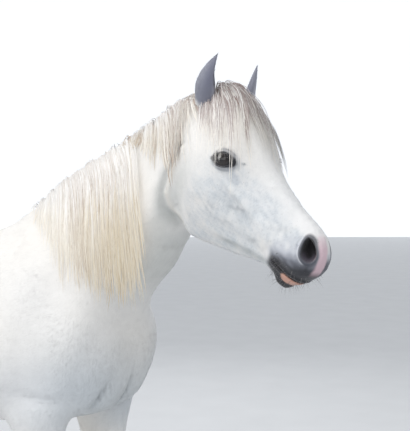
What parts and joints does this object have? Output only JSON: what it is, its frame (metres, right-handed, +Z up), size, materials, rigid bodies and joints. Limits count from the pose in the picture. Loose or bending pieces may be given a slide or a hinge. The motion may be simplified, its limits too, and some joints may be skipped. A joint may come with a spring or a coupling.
{
  "type": "riding pony",
  "caption": "Light grey riding pony standing square with its neck raised and its head turned to the right, with a long mane, forelock and full tail; a still life-size figure.",
  "frame": {"origin": "the middle of the model's bounding box in plan, at floor level", "axes": "+X the way the trunk faces, +Y the pony's left, +Z up"},
  "size_m": [2.1566, 0.5846, 1.8151],
  "materials": {
    "coat": "short smooth white-grey coat",
    "muzzle_skin": "fine dark grey skin with thin hair",
    "ear_skin": "short bluish grey fur",
    "hoof": "dark ringed horn",
    "eye": "wet gloss",
    "mane_hair": "long cream and grey hair",
    "tail_hair": "long cream and grey hair"
  },
  "bodies": {
    "root": {"head": "coat", "muzzle": "muzzle_skin", "neck": "coat", "trunk": "coat", "right_fore_upper": "coat", "right_fore_lower": "coat", "left_fore_upper": "coat", "left_fore_lower": "coat", "right_hind_upper": "coat", "right_hind_lower": "coat", "left_hind_upper": "coat", "left_hind_lower": "coat", "right_fore_hoof": "hoof", "left_fore_hoof": "hoof", "right_hind_hoof": "hoof", "left_hind_hoof": "hoof", "right_eye": "eye", "left_eye": "eye", "right_ear": "ear_skin", "left_ear": "ear_skin", "mane": "mane_hair", "forelock": "mane_hair", "tail": "tail_hair"}
  },
  "joints": []
}
